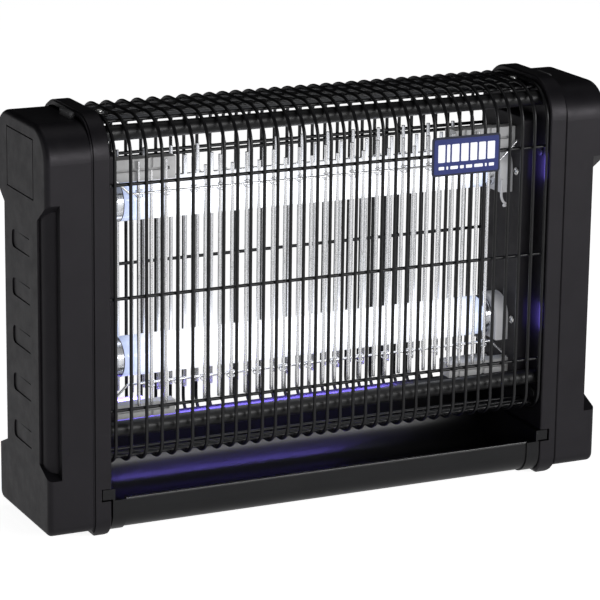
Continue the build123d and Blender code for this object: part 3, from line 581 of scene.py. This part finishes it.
def build_holder_clips():
    """The formed wire clip that hooks below each upper holder, and the bead on its end."""
    for name in ("left", "right"):
        low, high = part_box(f"upper_{name}_lamp_holder")
        face_x = low[0] if name == "right" else high[0]
        out = 1 if name == "right" else -1
        top = lamp_z["upper"] - 0.006
        y = low[1] - CLIP_WIRE
        points = [
            (face_x + out * 0.8 * MM, y, top),
            (face_x + out * 0.8 * MM, y, low[2] + 2 * MM),
            (face_x + out * 0.8 * MM, y, low[2] - 3 * MM),
            (face_x + out * 2.6 * MM, y, low[2] - 6.5 * MM),
            (face_x + out * 4.2 * MM, y, low[2] - 7.5 * MM),
        ]
        wire_piece(f"upper_{name}_holder_clip", points, CLIP_WIRE, HOLDER, "body")
        bm = bmesh.new()
        bead = (face_x + out * 3.4 * MM, y, low[2] - 8.6 * MM)
        add_blob(bm, bead, (1.5 * MM, 1.3 * MM, 1.2 * MM))
        piece_from(f"upper_{name}_clip_bead", bm, HOLDER, "body")


# ------------------------------------------------------------------ badge, lugs and tray
BOLD_WIDTHS, BOLD_GAP = (5.0, 2.3, 5.4, 5.4, 5.0, 5.0, 5.4), 1.3
FINE_WIDTHS, FINE_GAP = (4.0, 1.3, 5.5, 2.7, 4.5, 6.2, 1.3, 3.7), 1.6
PRINT_RELIEF, PRINT_EDGE = 0.12 * MM, 0.03 * MM


def add_bars(bm, widths, gap, start, middle, tall, corner):
    """A row of rounded bars on the badge, in millimetres from its middle."""
    for width in widths:
        x = middle[0] + (start + width / 2) * MM
        outline = rounded_outline(width * MM, tall * MM, corner * MM, 3)
        origin = (x, middle[1], middle[2])
        add_slab(bm, outline, origin, (1, 0, 0), (0, 0, 1), PRINT_RELIEF, PRINT_EDGE)
        start += width + gap


def build_badge_print():
    """Plain raised bars in place of any lettering: a bold row and a thin row."""
    low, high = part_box("badge_face")
    middle = (low[0] + high[0]) / 2
    bm = bmesh.new()
    bold_start = -(sum(BOLD_WIDTHS) + BOLD_GAP * (len(BOLD_WIDTHS) - 1)) / 2
    add_bars(bm, BOLD_WIDTHS, BOLD_GAP, bold_start, (middle, low[1], low[2] + 13.6 * MM), 11.6, 0.5)
    add_bars(bm, FINE_WIDTHS, FINE_GAP, -20.2, (middle, low[1], low[2] + 4.1 * MM), 2.1, 0.4)
    piece_from("badge_print", bm, BADGE_PRINT_PAINTED_GLOW, "body", False)


SEAM_X = 166 * MM
CROWN_Z = 265.2 * MM
LUG_OUT, LUG_Y = 1.75 * MM, -8 * MM


def build_lug_caps():
    """Boss over the snap lug on each crown, in a lighter grey that is a painted highlight."""
    for side, name in ((-1, "left"), (1, "right")):
        centre = (side * (SEAM_X + LUG_OUT), LUG_Y, CROWN_Z)
        bm = bmesh.new()
        outline = rounded_outline(4.0 * MM, 18.6 * MM, 1.7 * MM, 6)
        add_slab(bm, outline, centre, (1, 0, 0), (0, 1, 0), 3.7 * MM, 0.6 * MM)
        piece_from(f"{name}_lug_boss_painted_highlight", bm, LUG_PAINTED_HIGHLIGHT, "body")


BEAD_RADIUS = 0.95 * MM
LIP_Z = 25.75 * MM


def build_tray_bead():
    """The rolled bead that stiffens the tray's front lip."""
    low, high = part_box("tray_pan")
    y = low[1] + 0.9 * MM
    points = [(low[0], y, LIP_Z), (0, y, LIP_Z), (high[0], y, LIP_Z)]
    wire_piece("tray_lip_bead", points, BEAD_RADIUS, TRAY_BEAD, "tray")


build_guard_welds()
build_rod_eyes()
build_wall_screws()
build_guard_screw_painted_shades()
build_lamp_trim()
build_holder_clips()
build_badge_print()
build_lug_caps()
build_tray_bead()


# ------------------------------------------------------------------ stage, light and camera
FLOOR_HALF = 14.0
FLOOR_GLOW_SEEN = 0.92
FLOOR_GLOW_ON_OBJECT = 0.34


def build_floor():
    """Pale paper that glows a little, and less for the object than for the camera."""
    mesh = bpy.data.meshes.new("floor")
    corners = [(sx * FLOOR_HALF, sy * FLOOR_HALF, 0) for sx, sy in ((-1, -1), (1, -1), (1, 1), (-1, 1))]
    mesh.from_pydata(corners, [], [(0, 1, 2, 3)])
    floor = bpy.data.objects.new("floor", mesh)
    bpy.context.scene.collection.objects.link(floor)
    mat, tree, shader = new_material("floor_paper")
    vector = object_coords(tree)
    stops = [(0.3, (0.90, 0.90, 0.90)), (0.7, (0.93, 0.93, 0.93))]
    colour = ramp(tree, noise(tree, vector, 3, 2), stops)
    link(tree, colour, shader.inputs["Base Color"])
    shader.inputs["Roughness"].default_value = 0.9
    shader.inputs["Specular IOR Level"].default_value = 0.0
    shader.inputs["Emission Color"].default_value = (1, 1, 1, 1)
    path = make(tree, "ShaderNodeLightPath")
    levels = (FLOOR_GLOW_ON_OBJECT, FLOOR_GLOW_SEEN)
    glow = map_range(tree, path.outputs["Is Camera Ray"], (0.0, 1.0), levels)
    link(tree, glow, shader.inputs["Emission Strength"])
    floor.data.materials.append(mat)


def build_world():
    """A studio that is brighter low down and in front, with a white backdrop for the camera."""
    world = bpy.data.worlds.new("studio")
    bpy.context.scene.world = world
    world.use_nodes = True
    tree = world.node_tree
    background = tree.nodes["Background"]
    coords = make(tree, "ShaderNodeTexCoord")
    parts = make(tree, "ShaderNodeSeparateXYZ")
    link(tree, coords.outputs["Generated"], parts.inputs["Vector"])
    stops = [(0.0, (0.45, 0.45, 0.46)), (0.30, (0.10, 0.10, 0.105)), (1.0, (0.02, 0.02, 0.022))]
    sky = ramp(tree, parts.outputs["Z"], stops)
    link(tree, sky, background.inputs["Color"])
    facing = map_range(tree, parts.outputs["Y"], (0.3, -0.5), (0.06, 0.9))
    link(tree, facing, background.inputs["Strength"])
    white = make(tree, "ShaderNodeBackground", Color=(1, 1, 1, 1), Strength=1.0)
    path = make(tree, "ShaderNodeLightPath")
    chooser = make(tree, "ShaderNodeMixShader")
    link(tree, path.outputs["Is Camera Ray"], chooser.inputs["Fac"])
    link(tree, background.outputs["Background"], chooser.inputs[1])
    link(tree, white.outputs["Background"], chooser.inputs[2])
    link(tree, chooser.outputs["Shader"], tree.nodes["World Output"].inputs["Surface"])


def area_light(name, place, target, size, power, colour=(1, 1, 1)):
    data = bpy.data.lights.new(name, "AREA")
    data.shape = "RECTANGLE"
    data.size, data.size_y = size
    data.energy = power
    data.color = colour
    light = bpy.data.objects.new(name, data)
    light.location = place
    light.rotation_euler = (Vector(target) - Vector(place)).to_track_quat("-Z", "Y").to_euler()
    bpy.context.scene.collection.objects.link(light)
    return light


VIOLET = (0.22, 0.16, 1.0)
CAGE_FILL_Y = -0.0385
CAGE_MIDDLE_Z = 0.155
TRAY_LIGHT_X = -0.03
PATCH_X, PATCH_Y, PATCH_RISE = 0.1475, -0.036, 0.005


def hidden_light(name, place, target, size, power, colour=(1, 1, 1)):
    """An area light that lights the object and doesn't show itself."""
    light = area_light(name, place, target, size, power, colour)
    light.visible_camera = False
    return light


def build_lights():
    """Three studio lights, a fill in the cage, and the tubes' violet on the tray and the right wall."""
    middle = (0, 0, 0.13)
    area_light("front_softbox", (1.2, -2.3, 0.72), middle, (2.2, 0.5), 29)
    area_light("left_softbox", (-2.4, 0.4, 0.9), middle, (1.2, 1.2), 3)
    area_light("top_softbox", (0.2, 0.3, 2.6), middle, (1.8, 1.8), 4)
    cage = (0, CAGE_FILL_Y, CAGE_MIDDLE_Z)
    hidden_light("cage_fill", cage, (0, 0.2, CAGE_MIDDLE_Z), (0.28, 0.17), 0.045)
    over_tray = (TRAY_LIGHT_X, 0.004, lamp_z["lower"] - 0.016)
    tray = (TRAY_LIGHT_X, 0.020, 0)
    tray_light = hidden_light("tray_violet", over_tray, tray, (0.21, 0.010), 0.15, VIOLET)
    tray_light.data.spread = math.radians(75)
    for level, height in lamp_z.items():
        place = (PATCH_X, PATCH_Y, height + PATCH_RISE)
        target = (0.2, PATCH_Y, height + PATCH_RISE)
        hidden_light(f"{level}_wall_violet", place, target, (0.014, 0.016), 0.005, VIOLET)


AZIMUTH, ELEVATION, ROLL = -25.56, 15.17, 0.74
CAMERA_PLACE = (-0.79991, -1.66435, 0.62922)
FOCAL_PIXELS, PICTURE_PIXELS = 2935.57, 600
SENSOR_MM = 36.0


def build_camera():
    azimuth, elevation, roll = (math.radians(angle) for angle in (AZIMUTH, ELEVATION, ROLL))
    back = Vector((
        math.sin(azimuth) * math.cos(elevation),
        -math.cos(azimuth) * math.cos(elevation),
        math.sin(elevation),
    ))
    right = Vector((math.cos(azimuth), math.sin(azimuth), 0))
    up = back.cross(right)
    turned_right = right * math.cos(roll) + up * math.sin(roll)
    turned_up = up * math.cos(roll) - right * math.sin(roll)
    data = bpy.data.cameras.new("camera")
    data.sensor_width = SENSOR_MM
    data.lens = FOCAL_PIXELS / PICTURE_PIXELS * SENSOR_MM
    data.clip_start, data.clip_end = 0.05, 60
    camera = bpy.data.objects.new("camera", data)
    turn = Matrix((turned_right, turned_up, back)).transposed().to_4x4()
    camera.matrix_world = Matrix.Translation(Vector(CAMERA_PLACE)) @ turn
    bpy.context.scene.collection.objects.link(camera)
    bpy.context.scene.camera = camera


build_floor()
build_world()
build_lights()
build_camera()
bpy.context.scene.view_settings.view_transform = "Standard"
